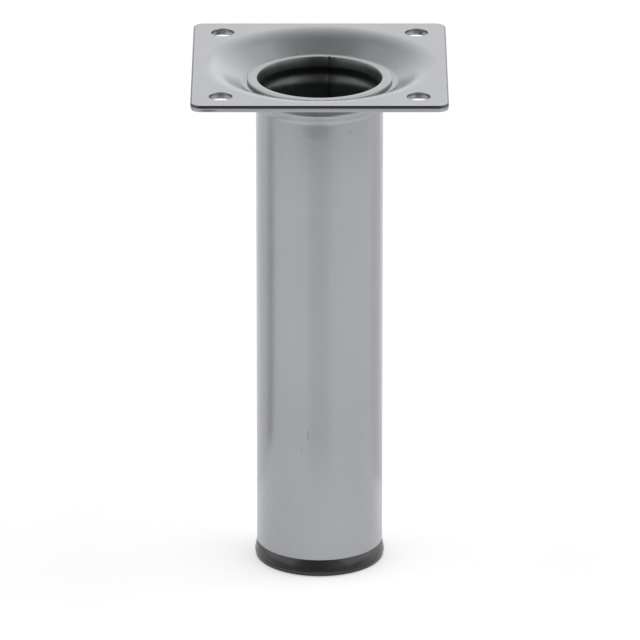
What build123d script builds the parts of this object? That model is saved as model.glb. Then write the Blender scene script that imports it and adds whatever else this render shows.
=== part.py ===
from build123d import *
import os
from math import atan2, degrees, hypot, radians, sqrt, tan

os.makedirs("parts", exist_ok=True)

# Sizes are in millimetres. +Z is up, and the origin is the centre of the foot's underside.

# Whole leg
steel_height = 120.0  # from the tube's lower end to the plate's top face
foot_height = 4.0  # black foot that shows below the tube
fit_clearance = 0.05  # radial room where one piece goes into another

# Leg tube, with its flared top end and the bead rolled out under the plate
tube_diameter = 30.0
tube_wall = 0.8
flange_width = 2.1  # how far the flared end reaches past the tube
flange_bend = 0.7  # relief under the flange, where the wall bends round the plate's hole
bead_height = 4.0
bead_flank_angle = 35.0  # of the bead's flanks to the tube's wall
bead_crest_radius = 1.0

# Mounting plate, pressed from sheet, with a dish that the flange sinks into
plate_width = 60.0
plate_sheet = 1.5
plate_corner_radius = 2.5
plate_rim = 5.1  # from the middle of a side to the dish's mouth, before its lip is rounded
dish_depth = 4.0
dish_floor_margin = 1.3  # flat ring left around the flange
dish_lip_reach = 2.8  # how far the rounded lip runs down the wall and out along the top
screw_hole_diameter = 5.5
screw_hole_inset = 7.0  # from a hole's centre to the plate's sides

# Foot cap, moulded with a hollow finned plug that is pushed into the tube
cap_flare = 0.5  # how far the cap's widest line stands out from the tube
cap_top_chamfer = 0.25
cap_band_height = 1.1
cap_band_step = 0.15  # how far the lower band is drawn in from the widest line
cap_line_width = 0.2
cap_line_depth = 0.3
cap_edge_chamfer = 0.3
cap_floor = 2.4
plug_length = 14.0
plug_wall = 1.5
plug_lead_in = 0.5
fin_count = 2
fin_reach = 0.6
fin_slope = 0.8

# Heights and radii that follow from the sizes above
tube_end = foot_height
plate_top = foot_height + steel_height
dish_floor_top = plate_top - dish_depth
plate_underside = dish_floor_top - plate_sheet
tube_radius = tube_diameter / 2
bore_radius = tube_radius - tube_wall
flange_radius = tube_radius + flange_width
neck_hole_radius = tube_radius + fit_clearance
dish_floor_radius = flange_radius + dish_floor_margin
dish_mouth_radius = plate_width / 2 - plate_rim
dish_wall_angle = atan2(dish_depth, dish_mouth_radius - dish_floor_radius)
dish_wall_length = hypot(dish_depth, dish_mouth_radius - dish_floor_radius)
wall_straight = dish_wall_length - dish_lip_reach
sheet_shift = plate_sheet * tan(dish_wall_angle / 2)  # keeps the sheet as thick on the slanting wall
plate_reach = plate_width / sqrt(2)
screw_spacing = plate_width - 2 * screw_hole_inset


# Leg tube: its wall's section, turned about the leg's axis. The bead presses the plate up against the flange.
bead_bottom = plate_underside - bead_height
bead_middle = plate_underside - bead_height / 2
bead_peak = bead_height / 2 * tan(radians(bead_flank_angle))
flange_top = dish_floor_top + tube_wall
neck_top = dish_floor_top - flange_bend

with BuildPart() as leg_tube:
    with BuildSketch(Plane.XZ):
        with BuildLine():
            outer_flange = Polyline(
                (flange_radius, dish_floor_top),
                (tube_radius + flange_bend, dish_floor_top),
                (tube_radius, neck_top),
                (tube_radius, plate_underside),
            )
            outer_bead = FilletPolyline(
                outer_flange @ 1,
                (tube_radius + bead_peak, bead_middle),
                (tube_radius, bead_bottom),
                radius=bead_crest_radius,
            )
            tube_walls = Polyline(
                outer_bead @ 1,
                (tube_radius, tube_end),
                (bore_radius, tube_end),
                (bore_radius, bead_bottom),
                (bore_radius + bead_peak, bead_middle),
                (bore_radius, plate_underside),
                (bore_radius, neck_top),
            )
            inner_bend = Bezier(
                tube_walls @ 1,
                (bore_radius, flange_top),
                (tube_radius + flange_bend, flange_top),
            )
            Polyline(inner_bend @ 1, (flange_radius, flange_top), outer_flange @ 0)
        make_face()
    revolve(axis=Axis.Z)
leg_tube.part.label = "leg_tube"
export_step(leg_tube.part, "parts/leg_tube.step")


# Mounting plate: the sheet's section turned about the axis, then trimmed to the rounded square.
with BuildPart() as mounting_plate:
    with BuildSketch(Plane.XZ) as sheet_section:
        with BuildLine():
            for floor, top, shift in (
                (dish_floor_top, plate_top, 0.0),
                (plate_underside, plate_top - plate_sheet, sheet_shift),
            ):
                dish_floor = Line((neck_hole_radius, floor), (dish_floor_radius + shift, floor))
                dish_wall = PolarLine(dish_floor @ 1, wall_straight, degrees(dish_wall_angle))
                mouth = dish_mouth_radius + shift
                dish_lip = Bezier(dish_wall @ 1, (mouth, top), (mouth + dish_lip_reach, top))
                Line(dish_lip @ 1, (plate_reach, top))
            Line((neck_hole_radius, dish_floor_top), (neck_hole_radius, plate_underside))
            Line((plate_reach, plate_top), (plate_reach, plate_top - plate_sheet))
        make_face()
        neck_edge = sheet_section.vertices().group_by(Axis.X)[0].sort_by(Axis.Y)[-1]
        chamfer(neck_edge, length=flange_bend)
    revolve(axis=Axis.Z)
    with BuildSketch():
        RectangleRounded(plate_width, plate_width, plate_corner_radius)
    extrude(amount=plate_top, mode=Mode.INTERSECT)
    with Locations((0, 0, plate_top)):
        with GridLocations(screw_spacing, screw_spacing, 2, 2):
            Hole(screw_hole_diameter / 2)
mounting_plate.part.label = "mounting_plate"
export_step(mounting_plate.part, "parts/mounting_plate.step")


# Foot cap: a flared foot under the tube's end, and above it the plug with its retaining fins.
cap_radius = tube_radius + cap_flare
band_radius = cap_radius - cap_band_step
line_radius = band_radius - cap_line_depth
line_top = cap_band_height + cap_line_width
fin_radius = bore_radius - fit_clearance
plug_radius = fin_radius - fin_reach
hollow_radius = plug_radius - plug_wall
plug_top = tube_end + plug_length
fin_pitch = plug_length / (fin_count + 1)

fin_outline = []
for fin in range(fin_count):
    fin_base = tube_end + fin_pitch * (fin + 0.5)
    fin_outline += [
        (plug_radius, fin_base),
        (fin_radius, fin_base),
        (plug_radius, fin_base + fin_slope),
    ]

with BuildPart() as foot_cap:
    with BuildSketch(Plane.XZ):
        with BuildLine():
            Polyline(
                (0, 0),
                (band_radius - cap_edge_chamfer, 0),
                (band_radius, cap_edge_chamfer),
                (band_radius, cap_band_height),
                (line_radius, (cap_band_height + line_top) / 2),
                (cap_radius, line_top),
                (tube_radius, tube_end - cap_top_chamfer),
                (tube_radius - cap_top_chamfer, tube_end),
                (plug_radius, tube_end),
                *fin_outline,
                (plug_radius, plug_top - plug_lead_in),
                (plug_radius - plug_lead_in, plug_top),
                (hollow_radius, plug_top),
                (hollow_radius, cap_floor),
                (0, cap_floor),
                close=True,
            )
        make_face()
    revolve(axis=Axis.Z)
foot_cap.part.label = "foot_cap"
export_step(foot_cap.part, "parts/foot_cap.step")
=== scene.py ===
from math import atan2, cos, degrees, exp, hypot, pi, radians, sin, sqrt, tan, tanh

import bmesh
import bpy
from mathutils import Matrix, Vector


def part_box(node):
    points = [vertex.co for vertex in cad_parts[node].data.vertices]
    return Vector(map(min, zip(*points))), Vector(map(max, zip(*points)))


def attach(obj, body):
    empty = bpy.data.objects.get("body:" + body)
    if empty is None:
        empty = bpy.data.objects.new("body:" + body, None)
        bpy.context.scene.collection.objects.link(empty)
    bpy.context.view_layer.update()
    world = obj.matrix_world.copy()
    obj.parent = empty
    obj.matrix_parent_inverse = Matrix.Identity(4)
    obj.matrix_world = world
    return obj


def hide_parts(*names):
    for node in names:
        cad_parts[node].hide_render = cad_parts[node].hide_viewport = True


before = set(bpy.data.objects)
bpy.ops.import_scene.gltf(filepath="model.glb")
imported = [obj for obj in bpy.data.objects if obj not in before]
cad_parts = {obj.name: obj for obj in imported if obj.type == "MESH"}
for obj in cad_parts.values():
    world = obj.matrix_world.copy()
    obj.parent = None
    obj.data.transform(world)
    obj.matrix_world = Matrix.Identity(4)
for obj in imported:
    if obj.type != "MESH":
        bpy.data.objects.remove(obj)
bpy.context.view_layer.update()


# Leg tube: a welded steel tube with a thin wall. Its top end is flared out flat over the plate's hole,
# and a bead rolled out just below it clamps the plate. It is coated silver-grey outside and left bare inside.
tube_low, tube_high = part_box("leg_tube")
tube_radius = 0.015
tube_wall = 0.0008
bore_radius = tube_radius - tube_wall
tube_steps = 240
tube_end_round = 0.00015
flange_radius = tube_high.x
flange_under = tube_high.z - tube_wall
flange_bend = 0.0003
flange_edge_round = 0.0002
flare_height = 0.0024
flare_taper = 0.00043
flare_taper_power = 1.5
flare_round = 0.0003
flare_round_power = 6
bead_height = 0.004
bead_middle = 0.1165
bead_flank = radians(35.0)
bead_crest_radius = 0.001
bead_root_radius = 0.0006
bead_run_out_radius = 0.002
bead_flank_steps = 6
neck_steps = 5
bead_groove_softness = 0.0009
weld_direction = radians(81.0)
weld_height = 0.00018
weld_half_width = 0.0007
coat_fade_start = 0.25
coat_fade_width = 0.35
facing_in = 1e-3
touching = 1e-5
arc_step_degrees = 4
arc_least_steps = 3
corner_angle = radians(60)
shading_angle = radians(35)


def line_to(section, vert, x, z, steps=1):
    """Draws a straight run of a section from vert, in one or more steps, and returns its end."""
    start = vert.co.copy()
    for step in range(1, steps + 1):
        vert = bmesh.ops.extrude_vert_indiv(section, verts=[vert])["verts"][0]
        vert.co = start.lerp((x, 0.0, z), step / steps)
    return vert


def arc_about(section, vert, x, z, angle):
    """Draws a round run of a section from vert about the centre x, z, and returns its end."""
    steps = max(arc_least_steps, round(abs(degrees(angle)) / arc_step_degrees))
    turned = bmesh.ops.spin(
        section, geom=[vert], cent=(x, 0.0, z), axis=(0.0, 1.0, 0.0), angle=angle, steps=steps
    )
    return next(item for item in turned["geom_last"] if isinstance(item, bmesh.types.BMVert))


def turn_section(section, steps):
    """Turns a drawn section once about the leg's axis into a skin with its seam closed."""
    bmesh.ops.spin(
        section, geom=section.verts[:] + section.edges[:], cent=(0, 0, 0), axis=(0, 0, 1),
        angle=2 * pi, steps=steps, use_merge=True,
    )
    bmesh.ops.remove_doubles(section, verts=section.verts[:], dist=1e-7)
    bmesh.ops.recalc_face_normals(section, faces=section.faces[:])


def round_corners(solid, radius, segments, wanted):
    """Rounds off a solid's sharp edges whose two ends both pass the test."""
    edges = [
        edge for edge in solid.edges
        if edge.calc_face_angle(0.0) > corner_angle and all(wanted(vert.co) for vert in edge.verts)
    ]
    bmesh.ops.bevel(
        solid, geom=edges, offset=radius, offset_type="OFFSET", segments=segments, profile=0.5,
        affect="EDGES", material=-1, clamp_overlap=False,
    )


def make_piece(name, solid, replaced):
    """Turns a finished solid into a smooth-shaded piece of the leg in place of its plain solid."""
    for face in solid.faces:
        face.smooth = True
    mesh = bpy.data.meshes.new(name)
    solid.to_mesh(mesh)
    solid.free()
    mesh.set_sharp_from_angle(angle=shading_angle)
    piece = bpy.data.objects.new(name, mesh)
    bpy.context.scene.collection.objects.link(piece)
    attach(piece, "root")
    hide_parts(replaced)
    return piece


def add_node(tree, kind, sockets, **settings):
    """Adds a shader node. A socket's value is linked where it is another node's output, and otherwise set."""
    made = tree.nodes.new(kind)
    for key, value in settings.items():
        setattr(made, key, value)
    for key, value in sockets.items():
        if isinstance(value, bpy.types.NodeSocket):
            tree.links.new(value, made.inputs[key])
        else:
            made.inputs[key].default_value = value
    return made


noise_range = (0.3, 0.7)


def noise(tree, place, scale, detail=3.0):
    """A grey noise with so many waves to the metre."""
    return add_node(
        tree, "ShaderNodeTexNoise", {"Vector": place, "Scale": scale, "Detail": detail}
    ).outputs["Fac"]


def spread(tree, value, low, high, to_low, to_high):
    """Maps a value from one range to another, held at both ends."""
    return add_node(tree, "ShaderNodeMapRange", {
        "Value": value, "From Min": low, "From Max": high, "To Min": to_low, "To Max": to_high,
    }).outputs["Result"]


def blend(tree, factor, first, second):
    """Goes from the first colour to the second as the factor goes from nought to one."""
    return add_node(tree, "ShaderNodeMix", {0: factor, 6: first, 7: second}, data_type="RGBA").outputs[2]


def spot(tree, place, centre, half_size, turn=(0.0, 0.0, 0.0)):
    """A soft spot about a point of a surface: one at its centre, falling to nought at its half sizes."""
    near = add_node(tree, "ShaderNodeMapping", {
        "Vector": place, "Location": centre, "Rotation": turn, "Scale": half_size,
    }, vector_type="TEXTURE")
    return add_node(
        tree, "ShaderNodeTexGradient", {"Vector": near.outputs["Vector"]}, gradient_type="SPHERICAL"
    ).outputs["Fac"]


mark_full_at = 0.6


def lay_mark_or_shade(tree, place, colour, mark_colour, strength, centre, half_size, turn=(0.0, 0.0, 0.0)):
    """Lays one mark over a colour, at full strength over the middle of its spot: a real scratch, nick or weld
    tint, or painted shade.
    """
    cover = spread(tree, spot(tree, place, centre, half_size, turn), 0.0, mark_full_at, 0.0, strength)
    return blend(tree, cover, colour, mark_colour)


def new_material(name):
    """Starts a node material, and returns it with its tree, its shader and its object coordinates."""
    material = bpy.data.materials.new(name)
    material.use_nodes = True
    tree = material.node_tree
    place = add_node(tree, "ShaderNodeTexCoord", {}).outputs["Object"]
    return material, tree, tree.nodes["Principled BSDF"], place


coat_pale = (0.381, 0.390, 0.406, 1.0)
coat_deep = (0.356, 0.365, 0.380, 1.0)
coat_clouds = 35.0
coat_metallic = 1.0
coat_roughness = (0.23, 0.28)
coat_gloss_clouds = 140.0
coat_waves = 800.0
coat_wave_strength = 0.05
coat_wave_height = 0.0001


def silver_coat(name):
    """The leg's satin coat: metallic silver-grey, faintly clouded, with slight waves from the spraying."""
    material, tree, shader, place = new_material(name)
    clouds = spread(tree, noise(tree, place, coat_clouds), *noise_range, 0.0, 1.0)
    colour = blend(tree, clouds, coat_deep, coat_pale)
    gloss = spread(tree, noise(tree, place, coat_gloss_clouds), *noise_range, *coat_roughness)
    tree.links.new(gloss, shader.inputs["Roughness"])
    shader.inputs["Metallic"].default_value = coat_metallic
    waves = add_node(tree, "ShaderNodeBump", {
        "Height": noise(tree, place, coat_waves, 0.0), "Strength": coat_wave_strength,
        "Distance": coat_wave_height,
    })
    tree.links.new(waves.outputs["Normal"], shader.inputs["Normal"])
    return material, tree, shader, place, colour


bead_reach = tube_radius + bead_height / 2 * tan(bead_flank)
crest_x = bead_reach - bead_crest_radius / cos(bead_flank)
root_x = tube_radius + bead_root_radius
root_rise = bead_height / 2 + bead_root_radius * tan(bead_flank / 2)
run_out_x = tube_radius + bead_run_out_radius
run_out_drop = bead_height / 2 + bead_run_out_radius * tan(bead_flank / 2)
flare_x = tube_radius + flange_bend
tube = bmesh.new()
pen = tube.verts.new((flange_radius, 0.0, flange_under))
pen = line_to(tube, pen, flare_x, flange_under)
pen = arc_about(tube, pen, flare_x, flange_under - flange_bend, -pi / 2)
pen = line_to(tube, pen, tube_radius, bead_middle + root_rise, neck_steps)
pen = arc_about(tube, pen, root_x, bead_middle + root_rise, -bead_flank)
pen = line_to(
    tube, pen, crest_x + bead_crest_radius * cos(bead_flank),
    bead_middle + bead_crest_radius * sin(bead_flank), bead_flank_steps,
)
pen = arc_about(tube, pen, crest_x, bead_middle, 2 * bead_flank)
pen = line_to(
    tube, pen, run_out_x - bead_run_out_radius * cos(bead_flank),
    bead_middle - run_out_drop + bead_run_out_radius * sin(bead_flank), bead_flank_steps,
)
pen = arc_about(tube, pen, run_out_x, bead_middle - run_out_drop, -bead_flank)
pen = line_to(tube, pen, tube_radius, tube_low.z)
turn_section(tube, tube_steps)
bmesh.ops.reverse_faces(tube, faces=tube.faces[:])
bmesh.ops.solidify(tube, geom=tube.faces[:], thickness=tube_wall)
round_corners(
    tube, flange_edge_round, segments=3, wanted=lambda co: hypot(co.x, co.y) > flange_radius - touching
)
round_corners(tube, tube_end_round, segments=2, wanted=lambda co: co.z < tube_low.z + touching)

# The coat fades out over the mouth's bend and the bore is bare. The mouth widens a little upwards, the groove
# inside the bead is softer than its crest, and the weld stands up all along the bore.
bare = tube.verts.layers.float.new("bare_steel")
tube.normal_update()
for vert in tube.verts:
    outwards = Vector((vert.co.x, vert.co.y, 0.0)).normalized()
    inside = -vert.normal.dot(outwards)
    in_bore = inside > 0.0 and vert.co.z < flange_under - flange_bend
    coat_lost = min(max((inside - coat_fade_start) / coat_fade_width, 0.0), 1.0)
    vert[bare] = 1.0 if in_bore else coat_lost
    along = tube_radius * (atan2(vert.co.y, vert.co.x) - weld_direction)
    weld_rise = vert[bare] * weld_height * exp(-(along / weld_half_width) ** 2)
    out = hypot(vert.co.x, vert.co.y)
    flared = min((vert.co.z - tube_high.z) / flare_height + 1, 1.0)
    if inside > facing_in and flared > 0.0:
        out = bore_radius + flare_taper * flared ** flare_taper_power
        out += flare_round * (1 - sqrt(1 - flared ** flare_round_power))
    elif in_bore:
        groove = max(out - bore_radius, 0.0)
        out += bead_groove_softness * tanh(groove / bead_groove_softness) - groove
    vert.co.xy = outwards.xy * (out - weld_rise)
leg_tube = make_piece("leg_tube_coated", tube, "leg_tube")

bare_steel_metallic = 0.72
bare_steel_roughness = 0.36
bare_steel_clouds = 300.0
bare_steel_noise_range = (0.35, 0.7)
bare_steel = (0.088, 0.104, 0.090, 1.0)
bare_steel_pale = (0.118, 0.134, 0.120, 1.0)
weld_tint_and_painted_shade = (0.020, 0.022, 0.020, 1.0)
# Painted shade inside the bore: the first darkens the ring of the groove inside the bead, the second darkens
# the middle of the back wall beside the weld, where the bore mirrors dark.
bore_painted_shades = [
    (weld_tint_and_painted_shade, 0.35, (0.0, 0.0, 0.1172), (0.0300, 0.0300, 0.0020)),
    (weld_tint_and_painted_shade, 0.45, (0.0, 0.0145, 0.1172), (0.0055, 0.0040, 0.0055)),
]
# The weld marks are the seam's own darker tint.
weld_marks = [
    (weld_tint_and_painted_shade, 0.5, (0.00222, 0.01402, 0.1150), (0.0006, 0.0009, 0.0600)),
    (weld_tint_and_painted_shade, 0.9, (0.00232, 0.01467, 0.1204), (0.0004, 0.0009, 0.0011)),
]
scratch_and_painted_crease_shade = (0.10, 0.10, 0.105, 1.0)
painted_shade_under_bead = (0.25, 0.255, 0.265, 1.0)
tube_marks = [
    (scratch_and_painted_crease_shade, 0.35, (-0.00271, -0.01475, 0.03600), (0.00022, 0.0008, 0.0019), (0.0, radians(-4), 0.0)),
    (scratch_and_painted_crease_shade, 0.40, (-0.00425, -0.01438, 0.03200), (0.00014, 0.0008, 0.0007)),
    (scratch_and_painted_crease_shade, 0.45, (-0.00873, -0.01220, 0.10520), (0.00026, 0.0003, 0.00028)),
    (scratch_and_painted_crease_shade, 0.38, (0.00718, -0.01317, 0.11150), (0.00034, 0.0004, 0.00034)),
    (scratch_and_painted_crease_shade, 0.4, (-0.00125, -0.01495, 0.06350), (0.00028, 0.0003, 0.00028)),
    (scratch_and_painted_crease_shade, 0.7, (0.00190, 0.01610, 0.12080), (0.00040, 0.00030, 0.00030)),
    (scratch_and_painted_crease_shade, 0.6, (0.00350, 0.01620, 0.12080), (0.00030, 0.00025, 0.00030)),
    (scratch_and_painted_crease_shade, 0.6, (0.00500, 0.01590, 0.12080), (0.00030, 0.00025, 0.00030)),
    # Painted shade: a soft dark patch on the tube's front just under the bead, where the plate and the bead
    # darken the tube.
    (painted_shade_under_bead, 0.35, (-0.00060, -0.01499, 0.11240), (0.0040, 0.0030, 0.0026)),
]
tube_coat, tree, shader, place, colour = silver_coat("silver_coat_tube")
for mark in tube_marks:
    colour = lay_mark_or_shade(tree, place, colour, *mark)
clouds = spread(tree, noise(tree, place, bare_steel_clouds), *bare_steel_noise_range, 0.0, 1.0)
steel = blend(tree, clouds, bare_steel, bare_steel_pale)
for mark in bore_painted_shades:
    steel = lay_mark_or_shade(tree, place, steel, *mark)
bareness = add_node(tree, "ShaderNodeAttribute", {}, attribute_name="bare_steel").outputs["Fac"]
colour = blend(tree, bareness, colour, steel)
for mark in weld_marks:
    colour = lay_mark_or_shade(tree, place, colour, *mark)
tree.links.new(colour, shader.inputs["Base Color"])
metallic = spread(tree, bareness, 0.0, 1.0, coat_metallic, bare_steel_metallic)
tree.links.new(metallic, shader.inputs["Metallic"])
gloss = shader.inputs["Roughness"].links[0].from_socket
duller = spread(tree, bareness, 0.0, 1.0, 0.0, bare_steel_roughness)
tree.links.new(
    add_node(tree, "ShaderNodeMath", {0: gloss, 1: duller}, operation="MAXIMUM").outputs[0],
    shader.inputs["Roughness"],
)
leg_tube.data.materials.append(tube_coat)


# Mounting plate: a square of sheet steel with rounded corners and four screw holes, pressed into a round
# dish that takes the tube's flare. Blanking rolled the top of its edge over and broke the lower half off at
# a slight slant. It is coated together with the tube.
plate_low, plate_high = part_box("mounting_plate")
plate_sheet = 0.0015
plate_corner_radius = 0.0025
plate_corner_segments = 8
neck_hole_radius = 0.01505
dish_floor = plate_low.z + plate_sheet
dish_floor_radius = 0.0184
dish_mouth_radius = 0.0249
dish_bend_radius = 0.0009
dish_lip_radius = 0.010
dish_steps = 240
screw_hole_radius = 0.00275
screw_hole_place = 0.023
screw_hole_segments = 48
sheet_edge_roll = 0.0004
sheet_break_draw = 0.00012
hole_edge_roll = 0.00012
neck_edge_relief = 0.0005
level_face = 0.9999

dish_slope = atan2(plate_high.z - dish_floor, dish_mouth_radius - dish_floor_radius)
bend_x = dish_floor_radius - dish_bend_radius * tan(dish_slope / 2)
lip_x = dish_mouth_radius + dish_lip_radius * tan(dish_slope / 2)
lip_z = plate_high.z - dish_lip_radius
plate = bmesh.new()
pen = plate.verts.new((neck_hole_radius, 0.0, dish_floor))
pen = line_to(plate, pen, bend_x, dish_floor)
pen = arc_about(plate, pen, bend_x, dish_floor + dish_bend_radius, -dish_slope)
pen = line_to(
    plate, pen, lip_x - dish_lip_radius * sin(dish_slope), lip_z + dish_lip_radius * cos(dish_slope)
)
pen = arc_about(plate, pen, lip_x, lip_z, dish_slope)
turn_section(plate, dish_steps)


def on_top(co):
    """Says whether a point is on the plate's top face."""
    return co.z > plate_high.z - touching


def on_outline(co):
    """Says whether a point is on the plate's outer edge."""
    return max(abs(co.x), abs(co.y)) > plate_high.x - plate_corner_radius / 2


def on_hole(co):
    """Says whether a point is on the edge of a screw hole."""
    from_centre = hypot(abs(co.x) - screw_hole_place, abs(co.y) - screw_hole_place)
    return from_centre < screw_hole_radius + touching


blank = bmesh.ops.create_grid(
    plate, x_segments=1, y_segments=1, size=plate_high.x, matrix=Matrix.Translation((0, 0, plate_high.z))
)["verts"]
bmesh.ops.bevel(
    plate, geom=blank, offset=plate_corner_radius, offset_type="OFFSET", segments=plate_corner_segments,
    profile=0.5, affect="VERTICES", material=-1,
)
blank_face = max(plate.faces, key=lambda face: face.calc_area())
bmesh.ops.delete(plate, geom=[blank_face], context="FACES_ONLY")
for x in (-screw_hole_place, screw_hole_place):
    for y in (-screw_hole_place, screw_hole_place):
        bmesh.ops.create_circle(
            plate, segments=screw_hole_segments, radius=screw_hole_radius,
            matrix=Matrix.Translation((x, y, plate_high.z)),
        )
border = [
    edge for edge in plate.edges
    if len(edge.link_faces) < 2 and all(on_top(vert.co) for vert in edge.verts)
]
bmesh.ops.triangle_fill(plate, use_beauty=True, edges=border, normal=(0, 0, 1))
bmesh.ops.recalc_face_normals(plate, faces=plate.faces[:])
bmesh.ops.solidify(plate, geom=plate.faces[:], thickness=plate_sheet)
upright = [
    edge for edge in plate.edges
    if on_outline(edge.verts[0].co) and abs(edge.verts[0].co.z - edge.verts[1].co.z) > plate_sheet / 2
]
bmesh.ops.subdivide_edges(plate, edges=upright, cuts=1)
underside = plate_high.z - plate_sheet
drawn_in = 1 - sheet_break_draw / plate_high.x
bmesh.ops.scale(
    plate, vec=(drawn_in, drawn_in, 1.0),
    verts=[vert for vert in plate.verts if on_outline(vert.co) and vert.co.z < underside + touching],
)
round_corners(plate, sheet_edge_roll, segments=5, wanted=lambda co: on_outline(co) and on_top(co))
round_corners(plate, hole_edge_roll, segments=3, wanted=lambda co: on_hole(co) and on_top(co))
round_corners(
    plate, neck_edge_relief, segments=2,
    wanted=lambda co: hypot(co.x, co.y) < neck_hole_radius + touching and co.z > dish_floor - touching,
)
# Painted reflection: the rolled strip along the top of the outline is marked for a dark band.
painted_edge_shade_layer = plate.verts.layers.float.new("rolled_edge_painted_shade")
for vert in plate.verts:
    rolled = plate_high.z - sheet_edge_roll - touching < vert.co.z < plate_high.z - touching
    vert[painted_edge_shade_layer] = 1.0 if rolled and on_outline(vert.co) else 0.0
mounting_plate = make_piece("mounting_plate_coated", plate, "mounting_plate")
for polygon in mounting_plate.data.polygons:
    polygon.use_smooth = abs(polygon.normal.z) < level_face

# Colour and strength of the painted dark band on the rolled top edge.
painted_edge_shade_grey = (0.055, 0.055, 0.058, 1.0)
painted_edge_shade_cover = 0.9
plate_marks = [
    (scratch_and_painted_crease_shade, 0.8, (-0.00536, 0.01979, 0.1210), (0.00032, 0.0004, 0.0004)),
    (scratch_and_painted_crease_shade, 0.5, (-0.00535, 0.01824, 0.1203), (0.00030, 0.0003, 0.0003)),
    (scratch_and_painted_crease_shade, 0.7, (-0.02580, -0.03000, 0.1229), (0.0026, 0.0004, 0.0004)),
    # Painted shade: these two short dark streaks lie in the dish's crease left and right of the flange; the
    # other plate marks are real dots, a shear mark and a nick.
    (scratch_and_painted_crease_shade, 0.6, (-0.01770, -0.00600, 0.1200), (0.00022, 0.0018, 0.0004), (0.0, 0.0, radians(20))),
    (scratch_and_painted_crease_shade, 0.5, (0.01640, -0.00800, 0.1200), (0.00022, 0.0016, 0.0004), (0.0, 0.0, radians(-28))),
    (scratch_and_painted_crease_shade, 0.9, (0.02680, 0.02980, 0.1240), (0.00080, 0.0004, 0.0004), (0.0, 0.0, radians(-15))),
]
plate_coat, tree, shader, place, colour = silver_coat("silver_coat_plate")
for mark in plate_marks:
    colour = lay_mark_or_shade(tree, place, colour, *mark)
# Painted reflection: the rolled top edge is darkened all round, as if it mirrored the dark in front and
# above.
edge_shading = add_node(tree, "ShaderNodeAttribute", {}, attribute_name="rolled_edge_painted_shade").outputs["Fac"]
colour = blend(tree, spread(tree, edge_shading, 0.0, 1.0, 0.0, painted_edge_shade_cover), colour, painted_edge_shade_grey)
tree.links.new(colour, shader.inputs["Base Color"])
mounting_plate.data.materials.append(plate_coat)


# Foot cap: one moulding of black plastic. Its flared foot stands under the tube's end, and a hollow plug
# with two fins holds it in the bore.
cap_low, cap_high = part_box("foot_cap")
cap_radius = cap_high.x
cap_edge_round = 0.0003
cap_band_step = 0.00015
cap_band_radius = cap_radius - cap_band_step
cap_band_height = 0.0011
cap_line_depth = 0.0003
cap_line_radius = cap_band_radius - cap_line_depth
cap_line_top = 0.0013
cap_shoulder = 0.00375
cap_shoulder_round = 0.00025
cap_floor_top = 0.0024
cap_steps = 240
plug_radius = 0.01355
plug_hollow_radius = 0.01205
plug_lead_in = 0.0005
fin_radius = 0.01415
fin_slope = 0.0008
fin_count = 2
fin_pitch = (cap_high.z - tube_low.z) / (fin_count + 1)

cap = bmesh.new()
pen = cap.verts.new((0.0, 0.0, cap_low.z))
pen = line_to(cap, pen, cap_band_radius - cap_edge_round, cap_low.z)
pen = arc_about(cap, pen, cap_band_radius - cap_edge_round, cap_edge_round, -pi / 2)
pen = line_to(cap, pen, cap_band_radius, cap_band_height)
pen = line_to(cap, pen, cap_line_radius, (cap_band_height + cap_line_top) / 2)
pen = line_to(cap, pen, cap_radius, cap_line_top)
pen = line_to(cap, pen, tube_radius, cap_shoulder)
pen = line_to(cap, pen, tube_radius - cap_shoulder_round, tube_low.z)
pen = line_to(cap, pen, plug_radius, tube_low.z)
for fin in range(fin_count):
    fin_base = tube_low.z + fin_pitch * (fin + 0.5)
    pen = line_to(cap, pen, plug_radius, fin_base)
    pen = line_to(cap, pen, fin_radius, fin_base)
    pen = line_to(cap, pen, plug_radius, fin_base + fin_slope)
pen = line_to(cap, pen, plug_radius, cap_high.z - plug_lead_in)
pen = line_to(cap, pen, plug_radius - plug_lead_in, cap_high.z)
pen = line_to(cap, pen, plug_hollow_radius, cap_high.z)
pen = line_to(cap, pen, plug_hollow_radius, cap_floor_top)
pen = line_to(cap, pen, 0.0, cap_floor_top)
turn_section(cap, cap_steps)
foot_cap = make_piece("foot_cap_moulded", cap, "foot_cap")

plastic_deep = (0.0068, 0.0077, 0.0058, 1.0)
plastic_pale = (0.0108, 0.0121, 0.0094, 1.0)
plastic_clouds = 120.0
plastic_roughness = (0.19, 0.25)
plastic_gloss_clouds = 500.0
plastic_grain = 3500.0
plastic_grain_detail = 2.0
plastic_grain_strength = 0.12
plastic_grain_height = 0.0001
plastic_specular = 0.65
black_plastic, tree, shader, place = new_material("black_plastic_moulded")
clouds = spread(tree, noise(tree, place, plastic_clouds), *noise_range, 0.0, 1.0)
tree.links.new(blend(tree, clouds, plastic_deep, plastic_pale), shader.inputs["Base Color"])
gloss = spread(tree, noise(tree, place, plastic_gloss_clouds), *noise_range, *plastic_roughness)
tree.links.new(gloss, shader.inputs["Roughness"])
grain = add_node(tree, "ShaderNodeBump", {
    "Height": noise(tree, place, plastic_grain, plastic_grain_detail),
    "Strength": plastic_grain_strength, "Distance": plastic_grain_height,
})
tree.links.new(grain.outputs["Normal"], shader.inputs["Normal"])
shader.inputs["Specular IOR Level"].default_value = plastic_specular
foot_cap.data.materials.append(black_plastic)


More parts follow.
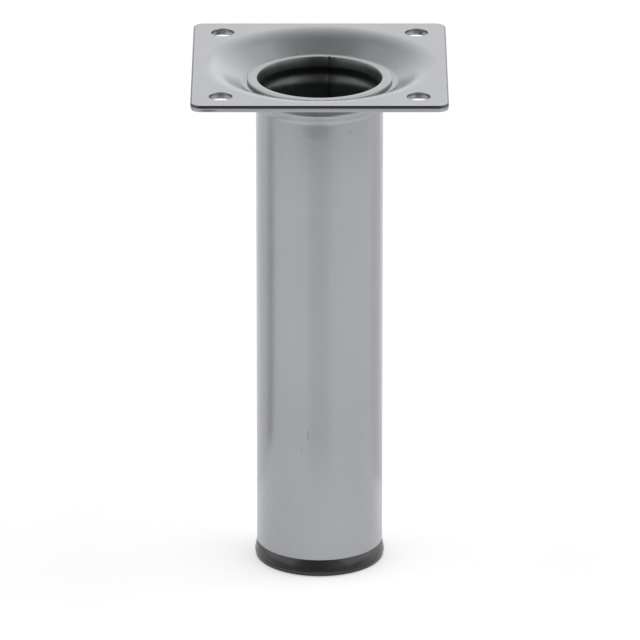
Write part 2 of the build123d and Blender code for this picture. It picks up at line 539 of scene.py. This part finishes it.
# Studio: a pale floor that glows a little, more near the foot (painted light that lifts the leg's contact
# shadow), grey cards on it that paint light and shade into the tube's mirror, a bright backdrop that the
# plate's top mirrors, dark above and in front, a soft light at each side and a faint one behind, and a long
# lens in front that looks down on the leg.
floor_size = 6.0
floor_drop = 0.0001
floor_glow = 0.31
foot_glow = 0.39
foot_glow_reach = 0.06
paper_deep = (0.90, 0.90, 0.90, 1.0)
paper_pale = (0.92, 0.92, 0.92, 1.0)
paper_clouds = 3.0
paper_roughness = 0.9
white = (1.0, 1.0, 1.0, 1.0)
floor_mesh = bmesh.new()
bmesh.ops.create_grid(
    floor_mesh, x_segments=1, y_segments=1, size=floor_size / 2,
    matrix=Matrix.Translation((0.0, 0.0, cap_low.z - floor_drop)),
)
floor_data = bpy.data.meshes.new("floor")
floor_mesh.to_mesh(floor_data)
floor_mesh.free()
floor = bpy.data.objects.new("floor", floor_data)
bpy.context.scene.collection.objects.link(floor)
floor_paper, tree, shader, place = new_material("floor_paper")
paper = blend(tree, noise(tree, place, paper_clouds), paper_deep, paper_pale)
tree.links.new(paper, shader.inputs["Base Color"])
shader.inputs["Roughness"].default_value = paper_roughness
shader.inputs["Specular IOR Level"].default_value = 0.0
shader.inputs["Emission Color"].default_value = white
# Painted light: the floor's glow rises near the foot and lifts out the leg's contact shadow.
near_foot = spot(tree, place, (0.0, 0.0, 0.0), (foot_glow_reach, foot_glow_reach, foot_glow_reach))
glow = spread(tree, near_foot, 0.0, 1.0, floor_glow, foot_glow)
tree.links.new(glow, shader.inputs["Emission Strength"])
floor_paper.cycles.emission_sampling = "NONE"
floor_data.materials.append(floor_paper)


card_lift = 0.0005
card_steps = 12
card_clouds = 40.0
card_mottle = 0.02


def floor_card(name, direction, near, far, width, tone, glow):
    """Lays a sector of grey card on the floor for the tube to mirror: a dark card is painted shade and a
    glowing one painted light in its reflection. The camera doesn't see it.
    """
    card_mesh = bmesh.new()
    line_to(card_mesh, card_mesh.verts.new((near, 0.0, card_lift)), far, card_lift)
    bmesh.ops.rotate(
        card_mesh, verts=card_mesh.verts[:], matrix=Matrix.Rotation(direction - width / 2, 3, "Z")
    )
    bmesh.ops.spin(
        card_mesh, geom=card_mesh.verts[:] + card_mesh.edges[:], cent=(0, 0, 0), axis=(0, 0, 1),
        angle=width, steps=card_steps,
    )
    card_data = bpy.data.meshes.new(name)
    card_mesh.to_mesh(card_data)
    card_mesh.free()
    card = bpy.data.objects.new(name, card_data)
    card.visible_camera = False
    card.visible_diffuse = False
    card.visible_shadow = False
    bpy.context.scene.collection.objects.link(card)
    card_paper, tree, shader, place = new_material(name)
    pale = tone + card_mottle
    grey = blend(tree, noise(tree, place, card_clouds), (tone, tone, tone, 1.0), (pale, pale, pale, 1.0))
    tree.links.new(grey, shader.inputs["Base Color"])
    shader.inputs["Roughness"].default_value = paper_roughness
    shader.inputs["Emission Color"].default_value = white
    shader.inputs["Emission Strength"].default_value = glow
    card_paper.cycles.emission_sampling = "NONE"
    card_data.materials.append(card_paper)


# Painted shade and light for the tube's mirror: card_left lies where the plate's shadow would fall, so the
# tube mirrors a dark stripe; card_front darkens the tube's upper middle; the glowing cards brighten the floor
# the tube mirrors.
floor_card("card_left", radians(171), 0.060, 0.42, radians(16), 0.73, 0.0)
floor_card("card_back_left", radians(143), 0.045, 0.42, radians(40), 0.80, 0.25)
floor_card("card_back_right", radians(37), 0.045, 0.42, radians(40), 0.77, 0.23)
floor_card("card_front", radians(-92), 0.325, 0.90, radians(64), 0.32, 0.0)
floor_card("card_middle", radians(-90), 0.05, 0.325, radians(34), 0.80, 0.27)
floor_card("card_front_left", radians(-153), 0.27, 0.80, radians(58), 0.70, 0.22)
floor_card("card_front_right", radians(-25), 0.27, 0.80, radians(70), 0.70, 0.22)


def grey_ramp(tree, value, stops):
    """Looks a grey up along a value from nought to one."""
    ramp = add_node(tree, "ShaderNodeValToRGB", {"Fac": value})
    elements = ramp.color_ramp.elements
    while len(elements) < len(stops):
        elements.new(0.5)
    for element, (position, grey) in zip(elements, stops):
        element.position = position
        element.color = (grey, grey, grey, 1.0)
    return ramp.outputs["Color"]


backdrop_strength = 1.45
back_greys = [
    (0.0, 0.95), (0.33, 0.92), (0.515, 0.79), (0.656, 0.64), (0.777, 0.51), (0.875, 0.41), (0.945, 0.335),
    (1.0, 0.27),
]
front_greys = [(0.0, 0.10), (0.12, 0.13), (0.3, 0.22), (0.6, 0.24), (0.8, 0.07), (0.95, 0.09), (1.0, 0.15)]
front_side_greys = [(0.0, 0.10), (0.12, 0.30), (0.27, 0.55), (0.5, 0.45), (0.8, 0.15), (1.0, 0.15)]
side_greys = [(0.0, 0.74), (0.5, 0.93), (1.0, 1.0)]
front_ends_at = 0.3
front_middle_ends_at = 0.15
front_side_starts_at = 0.6
side_fade_ends_at = 0.4
world = bpy.data.worlds.new("studio")
world.use_nodes = True
tree = world.node_tree
ray = add_node(tree, "ShaderNodeTexCoord", {}).outputs["Generated"]
ray_parts = add_node(tree, "ShaderNodeSeparateXYZ", {"Vector": ray}).outputs
behind = spread(tree, ray_parts["Y"], -front_ends_at, front_ends_at, 0.0, 1.0)
off_middle = add_node(tree, "ShaderNodeMath", {0: ray_parts["X"]}, operation="ABSOLUTE").outputs[0]
sideways = spread(tree, off_middle, front_middle_ends_at, front_side_starts_at, 0.0, 1.0)
front = blend(
    tree, sideways, grey_ramp(tree, ray_parts["Z"], front_greys),
    grey_ramp(tree, ray_parts["Z"], front_side_greys),
)
backdrop = blend(tree, behind, front, grey_ramp(tree, ray_parts["Z"], back_greys))
across = spread(tree, ray_parts["X"], -side_fade_ends_at, side_fade_ends_at, 0.0, 1.0)
faded = add_node(
    tree, "ShaderNodeMix", {0: 1.0, 6: backdrop, 7: grey_ramp(tree, across, side_greys)},
    data_type="RGBA", blend_type="MULTIPLY",
).outputs[2]
tree.links.new(faded, tree.nodes["Background"].inputs["Color"])
tree.nodes["Background"].inputs["Strength"].default_value = backdrop_strength
bpy.context.scene.world = world
bpy.context.scene.view_settings.view_transform = "Standard"


def softbox(name, direction, elevation, distance, size, power):
    """Hangs a square soft light that faces the leg, in a direction round it from +X towards +Y."""
    light = bpy.data.lights.new(name, "AREA")
    light.size = size
    light.energy = power
    lamp = bpy.data.objects.new(name, light)
    lamp.location = (
        distance * cos(elevation) * cos(direction),
        distance * cos(elevation) * sin(direction),
        distance * sin(elevation),
    )
    lamp.rotation_euler = (-lamp.location).to_track_quat("-Z", "Y").to_euler()
    lamp.visible_camera = False
    bpy.context.scene.collection.objects.link(lamp)


softbox("softbox_right", radians(-14), radians(40), 1.7, 2.0, 9.3)
softbox("softbox_left", radians(194), radians(40), 1.7, 2.0, 9.3)
softbox("softbox_back", radians(79), radians(24), 1.7, 0.22, 0.07)

camera_distance = 1.788
camera_height = 0.617
camera_tilt = radians(20.86)
camera_sideways = 0.0001
focal_pixels = 8049.0
picture_pixels = 640
camera_data = bpy.data.cameras.new("camera")
camera_data.sensor_width = 36.0
camera_data.lens = camera_data.sensor_width * focal_pixels / picture_pixels
camera_data.clip_end = 100.0
camera = bpy.data.objects.new("camera", camera_data)
camera.location = (camera_sideways, -camera_distance, plate_high.z + camera_height)
camera.rotation_euler = (pi / 2 - camera_tilt, 0.0, 0.0)
bpy.context.scene.collection.objects.link(camera)
bpy.context.scene.camera = camera
